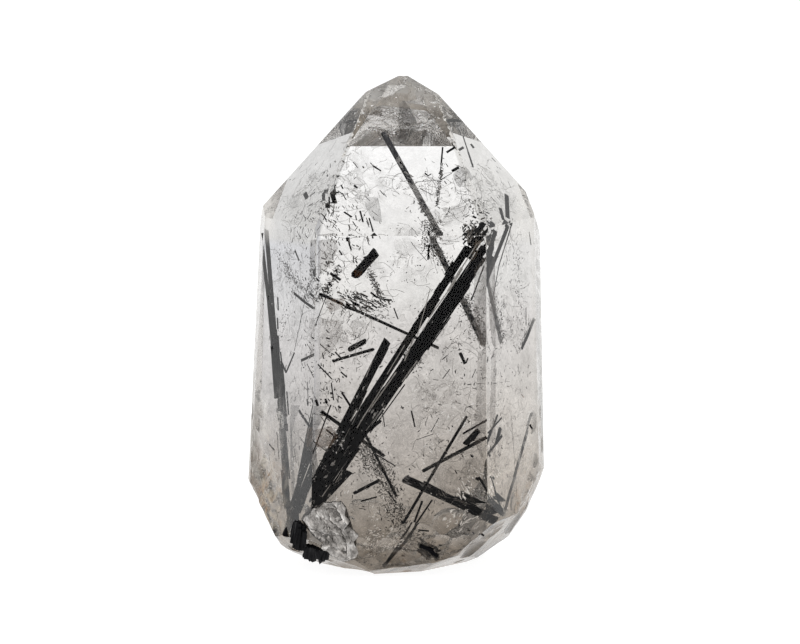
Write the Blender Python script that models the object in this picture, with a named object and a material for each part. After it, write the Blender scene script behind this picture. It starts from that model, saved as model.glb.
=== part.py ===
# Quartz point with black tourmaline rods grown through it, standing on its broken base.
#
# The origin is at the middle of the base, +Z runs up the crystal's long axis and the wide face that
# the viewer sees looks along -Y. Sizes in this file are in millimetres and are turned into metres
# where a mesh is made.

import math
import random

import bmesh
import bpy
from mathutils import Matrix, Vector

MM = 0.001

# The crystal: a six-sided prism under a six-faced point. Every face is measured from AXIS, the upright
# line through the place where the three large faces of the point would meet, PEAK_Z above the base.
AXIS = Vector((0.5, 1.05, 0.0))
PEAK_Z = 79.2
TIP_Z = 78.2
SHOULDER_Z = 52.3

# Everything is measured from a working origin near the middle of the base. The finished part is moved so
# that its own origin is the middle of its bounding box there.
BASE_MIDDLE = Vector((-0.286, -0.707, 0.0))

# Upright faces: name, compass angle, degrees that the face leans back, distance from AXIS at SHOULDER_Z
PRISM_FACES = (
    ("front", -90, 0.6, 20.2),
    ("front_left", -150, 1.4, 21.4),
    ("front_right", -30, 0.7, 21.4),
    ("back", 90, 0.8, 18.0),
    ("back_left", 150, 2.2, 20.1),
    ("back_right", 30, 1.0, 20.2),
    ("left_strip", -170, 3.0, 22.45),
    ("right_strip", -10, 1.3, 21.9),
    ("back_left_edge", 120, 1.8, 21.0),
    ("back_right_edge", 60, 1.1, 21.1),
)
# Faces of the point: name, compass angle, slope from level, height above the peak where it crosses AXIS
POINT_FACES = (
    ("front", -90, 51.8, 0.0),
    ("back_left", 150, 51.8, 1.5),
    ("back_right", 30, 51.8, 1.1),
    ("front_left", -147, 52.8, 4.1),
    ("front_right", -33, 52.8, 4.3),
    ("back", 90, 51.8, 3.2),
)
# Worn corners at the tip, at the two shoulders and low on the left: compass angle, rise of the outward
# normal, a point on it
WORN_CORNERS = (
    (180, 64, (-2.6, 0.0, 76.9)),
    (178, 53, (-5.9, 0.0, 75.0)),
    (0, 59, (4.7, 0.0, 76.3)),
    (180, 17, (-22.1, 0.0, 56.0)),
    (0, 20, (21.7, 0.0, 56.3)),
    (184, -28, (-21.2, 0.0, 7.0)),
)

# The broken base: rings of flat breaks round a bowl, then one level break that the crystal stands on.
# The bowl's rim is higher at the back right (compass angle BOWL_HIGH) and dips under the front face.
BOWL_Z = 15.0
BOWL_FLAT = 8.2
BOWL_LEAN = 4.1
BOWL_HIGH = 38
FRONT_DIP = 5.5
FRONT_TURN = -83
BREAK_RINGS = ((18, 11), (33, 10), (50, 9), (68, 7))
BREAK_DEPTH = (0.965, 0.99)
BREAK_TURN = 0.25
BREAK_TILT = 5.0
BREAK_SEED = 21

# A crust of pale flakes on the lower left of the front: centre, radius, turn about their own normal
FLAKE_NORMAL = Vector((-0.22, -0.90, -0.38))
FLAKE_THICK = 2.2
FLAKE_SIDES = 7
FLAKES = (
    ((-12.0, -19.0, 9.8), 1.9, 10),
    ((-9.5, -19.4, 10.3), 2.0, 40),
    ((-10.6, -19.0, 7.7), 2.5, 75),
    ((-8.4, -19.0, 6.4), 2.3, 100),
    ((-9.2, -18.3, 4.7), 2.0, 20),
)

# The quartz is parted along an upright plane that the spray and every lone rod cross, so that nothing is sealed in
# one half alone
PARTING_Y = -7.0
GAP = 0.3

# The spray: rods that spread from one root at the lower left, grown together there.
# name, end by the root, far end, width
SPRAY_RODS = (
    ("main", (-14.9, -12.2, 9.3), (13.0, -13.0, 50.2), 1.8),
    ("main_edge", (-15.3, -12.5, 9.9), (13.2, -13.6, 51.8), 0.8),
    ("upper", (-15.8, -11.4, 10.0), (11.0, -10.3, 51.6), 1.35),
    ("middle", (-15.3, -12.5, 10.3), (-1.6, -6.0, 36.8), 1.4),
    ("short", (-14.2, -12.5, 9.6), (-7.7, -9.5, 16.3), 1.4),
    ("left", (-16.4, -11.6, 8.6), (-20.3, -2.8, 53.9), 1.3),
    ("root", (-15.2, -12.3, 10.5), (-16.0, -15.2, 5.4), 2.5),
    ("root_left", (-15.8, -12.0, 9.8), (-17.7, -12.3, 5.6), 1.6),
    ("root_low", (-15.0, -12.3, 8.4), (-13.8, -10.8, 2.2), 2.3),
)
# Rods that stand alone in the quartz: name, one end, other end, width
LONE_RODS = (
    ("tourmaline_upper_rod", (-2.4, -4.6, 68.8), (13.5, -9.4, 36.1), 1.0),
    ("tourmaline_lower_rod", (0.9, -5.0, 14.6), (13.4, -9.0, 9.3), 1.5),
    ("tourmaline_right_rod", (20.9, -4.5, 24.7), (15.1, -11.0, 9.8), 0.8),
    ("tourmaline_upper_stub", (-3.3, -8.5, 50.8), (-6.9, -5.6, 46.7), 1.5),
    ("tourmaline_middle_stub", (-7.7, -8.4, 35.3), (-5.1, -6.0, 36.5), 0.9),
    ("tourmaline_right_stub", (12.7, -8.4, 22.6), (10.6, -6.0, 20.1), 1.0),
    ("tourmaline_crossing_needle", (3.9, -5.0, 15.7), (14.0, -10.0, 21.6), 0.6),
    ("tourmaline_long_needle", (10.9, -6.0, 24.6), (-2.3, -9.6, 2.6), 0.5),
    ("tourmaline_high_needle", (-12.3, -4.0, 43.8), (6.4, -10.0, 35.6), 0.5),
    ("tourmaline_left_needle", (-12.2, -8.4, 25.6), (-2.2, -5.0, 18.1), 0.6),
    ("tourmaline_steep_needle", (-5.2, -10.0, 22.1), (-0.3, -4.0, 11.6), 0.5),
    ("tourmaline_base_needle", (-6.9, -10.0, 12.7), (-2.9, -5.0, 14.3), 0.6),
    ("tourmaline_level_needle", (-10.4, -5.0, 33.2), (-3.8, -9.0, 35.4), 0.5),
)

# A rod's cross-section is a rounded triangle with grooves along it, and its ends are snapped off
ROD_SIDES = 12
ROD_BULGE = 0.10
ROD_GROOVE = 0.07
ROD_SNAP = 0.35
THIN_ROD = 0.7
THIN_SIDES = 6
POCKET_SIDES = 10

QUARTZ_COLOUR = (0.86, 0.86, 0.84, 1.0)
TOURMALINE_COLOUR = (0.012, 0.012, 0.013, 1.0)
FLAKE_COLOUR = (0.62, 0.61, 0.60, 1.0)


def clear_scene():
    for old in list(bpy.data.objects):
        bpy.data.objects.remove(old)


def new_collection(name):
    group = bpy.data.collections.new(name)
    bpy.context.scene.collection.children.link(group)
    return group


def new_material(name, colour, roughness, transmission=0.0, ior=1.5):
    material = bpy.data.materials.new(name)
    material.use_nodes = True
    shader = material.node_tree.nodes["Principled BSDF"]
    shader.inputs["Base Color"].default_value = colour
    shader.inputs["Roughness"].default_value = roughness
    shader.inputs["Transmission Weight"].default_value = transmission
    shader.inputs["IOR"].default_value = ior
    return material


def add_object(name, bm, group, material=None):
    """Turn a mesh that was made in millimetres from the working origin into an object in metres."""
    bmesh.ops.translate(bm, vec=-BASE_MIDDLE, verts=bm.verts)
    bmesh.ops.scale(bm, vec=(MM, MM, MM), verts=bm.verts)
    bmesh.ops.recalc_face_normals(bm, faces=bm.faces)
    mesh = bpy.data.meshes.new(name)
    bm.to_mesh(mesh)
    bm.free()
    if material:
        mesh.materials.append(material)
    made = bpy.data.objects.new(name, mesh)
    group.objects.link(made)
    return made


def hide_cutter(cutter):
    cutter.hide_render = True
    cutter.display_type = "WIRE"


def add_boolean(target, cutter, operation):
    modifier = target.modifiers.new(f"{operation.lower()} {cutter.name}", "BOOLEAN")
    modifier.operation = operation
    modifier.solver = "EXACT"
    modifier.object = cutter


def compass(degrees):
    return Vector((math.cos(math.radians(degrees)), math.sin(math.radians(degrees)), 0.0))


def outward(azimuth, rise):
    """Unit normal that points to a compass angle and rises that many degrees above level."""
    level = compass(azimuth) * math.cos(math.radians(rise))
    return level + Vector((0.0, 0.0, math.sin(math.radians(rise))))


def cut_face(bm, point, normal):
    """Slice off what lies beyond a plane and close the cut with one flat face."""
    everything = bm.verts[:] + bm.edges[:] + bm.faces[:]
    cut = bmesh.ops.bisect_plane(bm, geom=everything, plane_co=point, plane_no=normal, clear_outer=True)
    rim = [item for item in cut["geom_cut"] if isinstance(item, bmesh.types.BMEdge)]
    if rim:
        bmesh.ops.edgeloop_fill(bm, edges=rim)


def natural_faces():
    """Planes of the unbroken crystal, each as a point on it and its outward normal."""
    faces = [(Vector((0, 0, 0)), Vector((0, 0, -1)))]
    for _, azimuth, lean, reach in PRISM_FACES:
        foot = AXIS + compass(azimuth) * reach + Vector((0, 0, SHOULDER_Z))
        faces.append((foot, outward(azimuth, lean)))
    for _, azimuth, slope, rise in POINT_FACES:
        crossing = AXIS + Vector((0, 0, PEAK_Z + rise))
        faces.append((crossing, outward(azimuth, 90 - slope)))
    for azimuth, rise, point in WORN_CORNERS:
        faces.append((Vector(point), outward(azimuth, rise)))
    faces.append((Vector((0, 0, TIP_Z)), Vector((0, 0, 1))))
    return faces


def bowl_height(azimuth):
    """How far above the base the bowl of breaks starts on that side."""
    lean = BOWL_LEAN * math.cos(math.radians(azimuth - BOWL_HIGH))
    dip = FRONT_DIP * max(0.0, math.cos(math.radians(azimuth - FRONT_TURN))) ** 4
    return BOWL_Z + lean - dip


def base_breaks(corners):
    """Planes of the snapped lower end, a bowl of flat breaks, each as far out as the prism reaches there."""
    chance = random.Random(BREAK_SEED)
    breaks = []
    for steepness, count in BREAK_RINGS:
        start = chance.uniform(0, 360)
        for step in range(count):
            azimuth = start + 360 * (step + chance.uniform(-BREAK_TURN, BREAK_TURN)) / count
            drop = steepness + chance.uniform(-BREAK_TILT, BREAK_TILT)
            side = compass(azimuth)
            reach = max(corner.dot(side) for corner in corners)
            level, down = math.cos(math.radians(drop)), math.sin(math.radians(drop))
            height = bowl_height(azimuth)
            depth = BOWL_FLAT * level + math.hypot((reach - BOWL_FLAT) * level, height * down)
            normal = outward(azimuth, -drop)
            middle = Vector((0, 0, height))
            breaks.append((middle + normal * depth * chance.uniform(*BREAK_DEPTH), normal))
    return breaks


def slice_block(planes, margin):
    """What is left of a block behind every plane, once each has moved out by the margin."""
    bm = bmesh.new()
    bmesh.ops.create_cube(bm, size=4 * PEAK_Z)
    for point, normal in planes:
        cut_face(bm, point + normal * margin, normal)
    return bm


def grow_crystal(margin=0.0):
    """The whole crystal on its broken base, made larger all round by the margin."""
    unbroken = slice_block(natural_faces(), 0.0)
    breaks = base_breaks([vert.co.copy() for vert in unbroken.verts])
    unbroken.free()
    return slice_block(natural_faces() + breaks, margin)


def along(start, end):
    """Matrix that takes +Z at the origin to the line from start to end, centred on its middle."""
    start, end = Vector(start), Vector(end)
    turn = (end - start).to_track_quat("Z", "Y").to_matrix().to_4x4()
    return Matrix.Translation((start + end) / 2) @ turn


def rod_mesh(start, end, width):
    """A striated prism with a rounded-triangle section and two uneven snapped ends."""
    length = (Vector(end) - Vector(start)).length
    sides = THIN_SIDES if width < THIN_ROD else ROD_SIDES
    bm = bmesh.new()
    bmesh.ops.create_cone(bm, cap_ends=True, segments=sides, radius1=width / 2, radius2=width / 2,
                          depth=length)
    for vert in bm.verts:
        angle = math.atan2(vert.co.y, vert.co.x)
        ridge = round(angle * sides / (2 * math.pi)) % 2
        swell = 1 - ROD_BULGE * (1 - math.cos(3 * angle)) / 2 - ROD_GROOVE * ridge
        vert.co.x *= swell
        vert.co.y *= swell
        vert.co.z -= math.copysign(ROD_SNAP * width * (1 + math.cos(angle + vert.co.z)) / 2, vert.co.z)
    bm.transform(along(start, end))
    return bm


def pocket_mesh(start, end, width):
    """The room that a rod fills in the quartz: the rod with GAP added on every side."""
    length = (Vector(end) - Vector(start)).length + 2 * GAP
    radius = (width / 2 + GAP) / math.cos(math.pi / POCKET_SIDES)
    bm = bmesh.new()
    bmesh.ops.create_cone(bm, cap_ends=True, segments=POCKET_SIDES, radius1=radius, radius2=radius,
                          depth=length)
    bm.transform(along(start, end))
    return bm


def flake_mesh(centre, radius, turn):
    bm = bmesh.new()
    bmesh.ops.create_cone(bm, cap_ends=True, segments=FLAKE_SIDES, radius1=radius,
                          radius2=0.8 * radius, depth=FLAKE_THICK)
    spin = Matrix.Rotation(math.radians(turn), 4, "Z")
    face = FLAKE_NORMAL.to_track_quat("Z", "Y").to_matrix().to_4x4()
    bm.transform(Matrix.Translation(Vector(centre)) @ face @ spin)
    return bm


def build_spray(parts, cutters, material):
    """The rods that share a root, joined to the thickest one as they are in the stone."""
    name, start, end, width = SPRAY_RODS[0]
    spray = add_object("tourmaline_spray", rod_mesh(start, end, width), parts, material)
    for name, start, end, width in SPRAY_RODS[1:]:
        branch = add_object(f"branch_{name}", rod_mesh(start, end, width), cutters)
        hide_cutter(branch)
        add_boolean(spray, branch, "UNION")
    return spray


def build_lone_rods(parts, material):
    for name, start, end, width in LONE_RODS:
        add_object(name, rod_mesh(start, end, width), parts, material)


def build_crust(parts, cutters, material):
    """The flakes joined together, and cut back to stand just clear of the crystal's surface."""
    centre, radius, turn = FLAKES[0]
    crust = add_object("flake_crust", flake_mesh(centre, radius, turn), parts, material)
    for number, (centre, radius, turn) in enumerate(FLAKES[1:], start=1):
        flake = add_object(f"flake_{number}", flake_mesh(centre, radius, turn), cutters)
        hide_cutter(flake)
        add_boolean(crust, flake, "UNION")
    crystal = add_object("crystal_room", grow_crystal(GAP), cutters)
    hide_cutter(crystal)
    add_boolean(crust, crystal, "DIFFERENCE")


def build_pockets(cutters):
    pockets = []
    for name, start, end, width in SPRAY_RODS + LONE_RODS:
        pocket = add_object(f"pocket_{name}", pocket_mesh(start, end, width), cutters)
        hide_cutter(pocket)
        pockets.append(pocket)
    return pockets


def build_quartz(name, keep_side, parts, material):
    """One half of the crystal, cut off just short of the parting plane. keep_side is -1 in front."""
    bm = grow_crystal()
    plane = Vector((0, PARTING_Y + keep_side * GAP / 2, 0))
    cut_face(bm, plane, Vector((0, -keep_side, 0)))
    return add_object(name, bm, parts, material)


clear_scene()
parts = new_collection("tourmalinated_quartz")
cutters = new_collection("cutters")

tourmaline = new_material("black_tourmaline", TOURMALINE_COLOUR, 0.32, ior=1.64)
build_spray(parts, cutters, tourmaline)
build_lone_rods(parts, tourmaline)

quartz = new_material("clear_quartz", QUARTZ_COLOUR, 0.04, transmission=1.0, ior=1.544)
front = build_quartz("quartz_front", -1, parts, quartz)
back = build_quartz("quartz_back", 1, parts, quartz)
for pocket in build_pockets(cutters):
    add_boolean(front, pocket, "DIFFERENCE")
    add_boolean(back, pocket, "DIFFERENCE")

flakes = new_material("pale_flakes", FLAKE_COLOUR, 0.5)
build_crust(parts, cutters, flakes)
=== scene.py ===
import math
import random

import bmesh
import bpy
from mathutils import Matrix, Vector, noise
from mathutils.bvhtree import BVHTree


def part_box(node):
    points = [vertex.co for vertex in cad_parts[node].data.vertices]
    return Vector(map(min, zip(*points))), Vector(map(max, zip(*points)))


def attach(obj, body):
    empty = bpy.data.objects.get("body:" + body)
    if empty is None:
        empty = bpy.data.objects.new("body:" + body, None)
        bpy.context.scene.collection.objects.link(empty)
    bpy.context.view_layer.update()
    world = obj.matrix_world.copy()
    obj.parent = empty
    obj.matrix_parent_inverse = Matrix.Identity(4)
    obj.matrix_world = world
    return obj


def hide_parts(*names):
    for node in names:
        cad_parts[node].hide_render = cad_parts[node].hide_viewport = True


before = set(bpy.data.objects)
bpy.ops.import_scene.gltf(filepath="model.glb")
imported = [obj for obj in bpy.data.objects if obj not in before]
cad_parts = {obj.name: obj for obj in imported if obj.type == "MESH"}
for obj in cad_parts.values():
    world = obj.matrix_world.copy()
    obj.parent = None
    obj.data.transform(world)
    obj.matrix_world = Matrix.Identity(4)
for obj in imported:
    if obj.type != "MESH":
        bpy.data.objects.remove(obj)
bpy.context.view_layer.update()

MM = 0.001

# The studio: a glowing white table under white light from all round, darker behind the camera so that the
# clear faces have something to mirror. The camera looks at the wide front face from 421 mm away and 5
# degrees above level, through a lens long enough that the upright edges stay nearly parallel.
CAMERA_DISTANCE = 421.2
CAMERA_RISE = math.radians(5)
CAMERA_LENS = 117
CAMERA_AIM = Vector((0.59, 1.76, 38.5))
FLOOR_SIZE = 12.0
FLOOR_WHITE = "8A8A8A"
FLOOR_GLOW = 0.92
FRONT_LIGHT = 0.8
BACK_LIGHT = 1.12
TOP_LIGHT = 0.2


def linear(code, alpha=1.0):
    """Linear colour of an sRGB hex code."""
    parts = [int(code[at:at + 2], 16) / 255 for at in (0, 2, 4)]
    return [(p / 12.92 if p <= 0.04045 else ((p + 0.055) / 1.055) ** 2.4) for p in parts] + [alpha]


def add(tree, kind, sockets=(), out=0, **settings):
    """Add a node and give back one of its outputs. The sockets are values, or outputs to link, in the
    node's own order or by name. A kind without Node in its name is a shader node."""
    made = tree.nodes.new(kind if "Node" in kind else "ShaderNode" + kind)
    for name, value in settings.items():
        setattr(made, name, value)
    for key, value in sockets.items() if isinstance(sockets, dict) else enumerate(sockets):
        if isinstance(value, bpy.types.NodeSocket):
            tree.links.new(value, made.inputs[key])
        else:
            made.inputs[key].default_value = value
    return made.outputs[out] if len(made.outputs) else made


def new_material(name):
    """An empty node material, its tree and its output node."""
    material = bpy.data.materials.new(name)
    material.use_nodes = True
    material.node_tree.nodes.clear()
    output = add(material.node_tree, "OutputMaterial")
    return material, material.node_tree, output


def new_piece(name, mesh, material):
    """Put a finished mesh in the scene as a piece that rides with the stone."""
    piece = bpy.data.objects.new(name, mesh)
    bpy.context.scene.collection.objects.link(piece)
    mesh.materials.clear()
    mesh.materials.append(material)
    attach(piece, "root")
    return piece


camera = bpy.data.objects.new("camera", bpy.data.cameras.new("camera"))
camera.data.lens = CAMERA_LENS
camera.data.clip_start = 0.01
back = Vector((0, -math.cos(CAMERA_RISE), math.sin(CAMERA_RISE)))
eye = CAMERA_AIM + back * CAMERA_DISTANCE
camera.location = eye * MM
camera.rotation_euler = back.to_track_quat("Z", "Y").to_euler()
bpy.context.scene.collection.objects.link(camera)
bpy.context.scene.camera = camera
bpy.context.scene.view_settings.view_transform = "Standard"

floor_mesh = bpy.data.meshes.new("floor")
half = FLOOR_SIZE / 2
corners = [(-half, -half, 0), (half, -half, 0), (half, half, 0), (-half, half, 0)]
floor_mesh.from_pydata(corners, [], [(0, 1, 2, 3)])
floor = bpy.data.objects.new("floor", floor_mesh)
bpy.context.scene.collection.objects.link(floor)
white, tree, output = new_material("white_floor")
# A light table: it glows, so it stays white round the foot of the stone
paint = add(tree, "BsdfDiffuse", {"Color": linear(FLOOR_WHITE)})
glow = add(tree, "Emission", {"Strength": FLOOR_GLOW})
both = add(tree, "AddShader", (paint, glow))
tree.links.new(both, output.inputs["Surface"])
floor_mesh.materials.append(white)

world = bpy.data.worlds.new("white_studio")
bpy.context.scene.world = world
world.use_nodes = True
tree = world.node_tree
tree.nodes.clear()
_, ahead, upward = add(tree, "SeparateXYZ", (add(tree, "TexCoord"),)).node.outputs
level = add(tree, "MapRange", (ahead, -0.9, 0.1, FRONT_LIGHT, BACK_LIGHT), interpolation_type="SMOOTHSTEP")
above = add(tree, "MapRange", (upward, 0.3, 0.9, 0.0, TOP_LIGHT), interpolation_type="SMOOTHSTEP")
total = add(tree, "Math", (level, above), operation="ADD")
sky = add(tree, "Background", {"Color": (1, 1, 1, 1), "Strength": total})
add(tree, "OutputWorld", {"Surface": sky})


# The quartz crystal: a six-sided prism under a six-faced point, grown as one piece. Its natural faces are
# flat and glassy with small chips along the ridges; the lower end was snapped off the rock it grew on and
# is a bowl of shell-shaped breaks. One clear piece stands for the two halves of the solid model.
QUARTZ_IOR = 1.544
SMOKE_DENSITY = 0.005
FACE_GLARE = 0.2  # the studio kept the front of the faces free of glare
WORN_EDGE = 0.26
BREAK_EDGE = 1.5
NATURAL_LEAN = -0.14  # a face that looks further down than this is broken
HEART = Vector((0, 0, 15))
# Shell-shaped breaks: how many, their radius from and to, their depth from and to
BREAK_TOP = 23.0
BIG_SHELLS = (60, (4.0, 15.0), (0.2, 0.85))
SMALL_SHELLS = (130, (1.2, 3.6), (0.12, 0.4))
FOOT_SHELLS = (9, (5.0, 11.0), (0.2, 0.8))
SIDE_SHELLS = (54, (2.0, 6.5), (0.1, 0.5))
SHELL_DETAIL = 4
# Chips along the ridges: the front ridges of the point, between two heights, carry the larger ones
RIDGE_CHIPS = 330
SMALLEST_CHIP = 0.2
LARGEST_CHIP = 0.65
SMALL_CHIP = 0.34
CHIP_HEIGHTS = (64.0, 75.5)
CHIP_DEPTH = (0.1, 0.42)
CHIP_DETAIL = 3


def box_side(name, corner, axis):
    """One side of a node's box in the solid model, in mm: corner 0 or 1, axis 0 to 2."""
    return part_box(name)[corner][axis] / MM


def natural_planes():
    """The planes of the convex crystal that the two halves make together, as normal and place, in mm."""
    parting = (box_side("quartz_front", 1, 1) + box_side("quartz_back", 0, 1)) / 2
    bm = bmesh.new()
    for name in ("quartz_front", "quartz_back"):
        bm.from_mesh(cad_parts[name].data)
    bmesh.ops.scale(bm, vec=(1 / MM, 1 / MM, 1 / MM), verts=bm.verts)
    bmesh.ops.delete(bm, geom=[vert for vert in bm.verts if abs(vert.co.y - parting) < 0.25], context="VERTS")
    bmesh.ops.remove_doubles(bm, verts=bm.verts, dist=0.01)
    hull = bmesh.ops.convex_hull(bm, input=bm.verts)
    outer = {item for item in hull["geom"] if isinstance(item, bmesh.types.BMFace)}
    inside = Vector((0, 0, 35))
    planes = []
    for face in sorted(outer, key=lambda face: -face.calc_area()):
        face.normal_update()
        place = face.calc_center_median()
        normal = face.normal * (1 if face.normal.dot(place - inside) > 0 else -1)
        known = any(normal.dot(other) > 0.99995 and abs((place - at).dot(other)) < 0.05
                    for other, at in planes)
        if not known and face.calc_area() > 0.02:
            planes.append((normal, place))
    bm.free()
    return planes


def cut_from_planes(planes):
    """The solid inside all the planes, with each flat face in one piece."""
    bm = bmesh.new()
    bmesh.ops.create_cube(bm, size=200)
    for normal, place in planes:
        whole = bm.verts[:] + bm.edges[:] + bm.faces[:]
        cut = bmesh.ops.bisect_plane(bm, geom=whole, plane_co=place, plane_no=normal, clear_outer=True,
                                     dist=1e-4)
        rim = [item for item in cut["geom_cut"] if isinstance(item, bmesh.types.BMEdge)]
        if rim:
            bmesh.ops.edgeloop_fill(bm, edges=rim)
    bmesh.ops.remove_doubles(bm, verts=bm.verts, dist=0.02)
    bmesh.ops.recalc_face_normals(bm, faces=bm.faces)
    return bm


def mesh_object(name, bm):
    """An object of a shape still measured in mm, to be cut further."""
    mesh = bpy.data.meshes.new(name)
    bm.to_mesh(mesh)
    bm.free()
    made = bpy.data.objects.new(name, mesh)
    bpy.context.scene.collection.objects.link(made)
    return made


def evaluated(made):
    """The object's mesh with its modifiers applied; the object itself is removed."""
    graph = bpy.context.evaluated_depsgraph_get()
    mesh = bpy.data.meshes.new_from_object(made.evaluated_get(graph))
    bpy.data.objects.remove(made)
    return mesh


def bite(stone, scoops, detail):
    """Take balls (centre, radius) out of the stone, a set of balls that don't touch each other at a time."""
    sets = []
    for centre, radius in scoops:
        free = next((balls for balls in sets if all((centre - at).length > radius + size + 0.05
                                                     for at, size in balls)), None)
        if free is None:
            sets.append([(centre, radius)])
        else:
            free.append((centre, radius))
    cutters = []
    for number, balls in enumerate(sets):
        bm = bmesh.new()
        for centre, radius in balls:
            turn = Matrix.Rotation(radius * 7, 4, centre.normalized())
            bmesh.ops.create_icosphere(bm, subdivisions=detail, radius=radius,
                                       matrix=Matrix.Translation(centre) @ turn)
        cutters.append(mesh_object(f"balls_{detail}_{number}", bm))
        modifier = stone.modifiers.new(cutters[-1].name, "BOOLEAN")
        modifier.operation = "DIFFERENCE"
        modifier.solver = "MANIFOLD"
        modifier.object = cutters[-1]
    graph = bpy.context.evaluated_depsgraph_get()
    mesh = bpy.data.meshes.new_from_object(stone.evaluated_get(graph))
    stone.modifiers.clear()
    stone.data = mesh
    for cutter in cutters:
        bpy.data.objects.remove(cutter)


bm = cut_from_planes(natural_planes())
faces = [(face.normal.copy(), face.calc_center_median()) for face in bm.faces]
natural_faces = [(normal, place) for normal, place in faces if normal.z > NATURAL_LEAN]
inner_edges = [edge for edge in bm.edges if len(edge.link_faces) == 2]
ridges = [(edge.verts[0].co.copy(), edge.verts[1].co.copy(),
           (edge.link_faces[0].normal + edge.link_faces[1].normal).normalized())
          for edge in inner_edges if all(face.normal.z > NATURAL_LEAN for face in edge.link_faces)]
hull_tree = BVHTree.FromBMesh(bm)
broken_edges = [edge for edge in inner_edges if any(face.normal.z < NATURAL_LEAN for face in edge.link_faces)
                and all(face.normal.z > -0.995 for face in edge.link_faces)]
bmesh.ops.bevel(bm, geom=broken_edges, offset=BREAK_EDGE, segments=3, profile=0.5, affect="EDGES",
                clamp_overlap=True)
sharp = [edge for edge in bm.edges if len(edge.link_faces) == 2 and edge.calc_face_angle() > math.radians(12)
         and all(face.normal.z > NATURAL_LEAN for face in edge.link_faces)]
bmesh.ops.bevel(bm, geom=sharp, offset=WORN_EDGE, segments=2, profile=0.6, affect="EDGES",
                clamp_overlap=True)
stone = mesh_object("stone", bm)

chance = random.Random(4)
shells = []
for count, radii, depths in (BIG_SHELLS, SMALL_SHELLS):
    for number in range(count):
        turn = chance.uniform(0, 2 * math.pi)
        fall = chance.uniform(0.03, 1.0) ** 0.6 * 1.5
        ray = Vector((math.cos(turn) * math.cos(fall), math.sin(turn) * math.cos(fall), -math.sin(fall)))
        radius, depth = chance.uniform(*radii), chance.uniform(*depths)
        place, normal, _, _ = hull_tree.ray_cast(HEART, ray)
        in_front = place.y < -13 and abs(place.x) < 13
        if place.z < BREAK_TOP and -0.985 < normal.z < -0.15 and not in_front:
            shells.append((place + normal * (radius - depth), radius))
# The lower rim of the wide front face is bitten away unevenly
count, radii, depths = FOOT_SHELLS
for number in range(count):
    across = -12 + 25 * (number + chance.random()) / count
    place = hull_tree.find_nearest(Vector((across, -22, chance.uniform(1.5, 5.0))))[0]
    radius = chance.uniform(*radii)
    lean = Vector((chance.uniform(-0.4, 0.4), -1, chance.uniform(-0.9, -0.1))).normalized()
    shells.append((place + lean * (radius - chance.uniform(*depths)), radius))
# The lower edges at the sides are lumpy, the left one more
count, radii, depths = SIDE_SHELLS
for number in range(count):
    side = -30 if number % 3 else 30
    beside = Vector((side, chance.uniform(-16, 0), chance.uniform(5, 25)))
    place, normal, _, _ = hull_tree.find_nearest(beside)
    radius = chance.uniform(*radii)
    shells.append((place + normal * (radius - chance.uniform(*depths)), radius))
bite(stone, shells, SHELL_DETAIL)
chips = []
weights = []
for start, end, out in ridges:
    of_point = abs(start.z - end.z) > 0.5 * (start - end).length and start.z + end.z > 100
    weights.append((start - end).length * ((6.0 if out.y < -0.3 else 0.8) if of_point else 0.3))
for number in range(RIDGE_CHIPS):
    start, end, out = chance.choices(ridges, weights)[0]
    top, foot = (start, end) if start.z > end.z else (end, start)
    place = top.lerp(foot, chance.random() ** 1.7)
    in_reach = out.y < -0.3 and CHIP_HEIGHTS[0] < place.z < CHIP_HEIGHTS[1]
    largest = LARGEST_CHIP if in_reach else SMALL_CHIP
    radius = SMALLEST_CHIP + (largest - SMALLEST_CHIP) * chance.random() ** 2
    lean = (out + Vector([chance.uniform(-0.5, 0.5) for _ in range(3)])).normalized()
    chips.append((place + lean * radius * (1 - chance.uniform(*CHIP_DEPTH)), radius))
bite(stone, chips, CHIP_DETAIL)


def finished_mesh(name, bm):
    """The mesh of a shape that was made in mm, in metres."""
    bmesh.ops.scale(bm, vec=(MM, MM, MM), verts=bm.verts)
    mesh = bpy.data.meshes.new(name)
    bm.to_mesh(mesh)
    bm.free()
    return mesh


bm = bmesh.new()
bm.from_mesh(stone.data)
bpy.data.objects.remove(stone)
bmesh.ops.triangulate(bm, faces=[face for face in bm.faces if len(face.verts) > 4])
natural = [any(face.normal.dot(normal) > 0.9998
               and abs((face.calc_center_median() - place).dot(normal)) < 0.03
               for normal, place in natural_faces) for face in bm.faces]
quartz_mesh = finished_mesh("clear_quartz", bm)
# Natural faces are flat to the eye; only the broken places are shaded as curves
quartz_mesh.polygons.foreach_set("use_smooth", [not flat for flat in natural])
quartz_mesh.set_sharp_from_angle(angle=math.radians(14))
broken = quartz_mesh.attributes.new("broken", "FLOAT", "FACE")
broken.data.foreach_set("value", [0.0 if flat else 1.0 for flat in natural])

# The stone's colour and skins. Painted shade over the side faces: x from and to in mm, z from and to, and how
# much they dim red, green and blue there; a negative one is painted light and brightens.
SIDE_PAINTED_LIGHT_AND_SHADE = [
    (-12.3, -12.6, 38.0, 50.0, (0.39, 0.38, 0.355)), (-12.3, -12.6, 12.0, 20.0, (0.19, 0.18, 0.145)),
    (-12.3, -12.6, 51.6, 52.6, (0.02, 0.05, 0.13)), (-12.3, -12.6, 35.0, 26.0, (0.09, 0.08, 0.075)),
    (13.9, 14.2, 38.0, 56.0, (0.34, 0.34, 0.34)), (13.9, 14.2, 33.0, 16.0, (-0.66, -0.66, -0.62)),
    (13.9, 14.2, 51.6, 52.6, (0.04, 0.05, 0.08)), (10.0, 12.5, 12.0, 8.0, (0.30, 0.30, 0.31))]
SHOULDER = 52.0
RIDGE_SLOPE = 0.34
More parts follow.
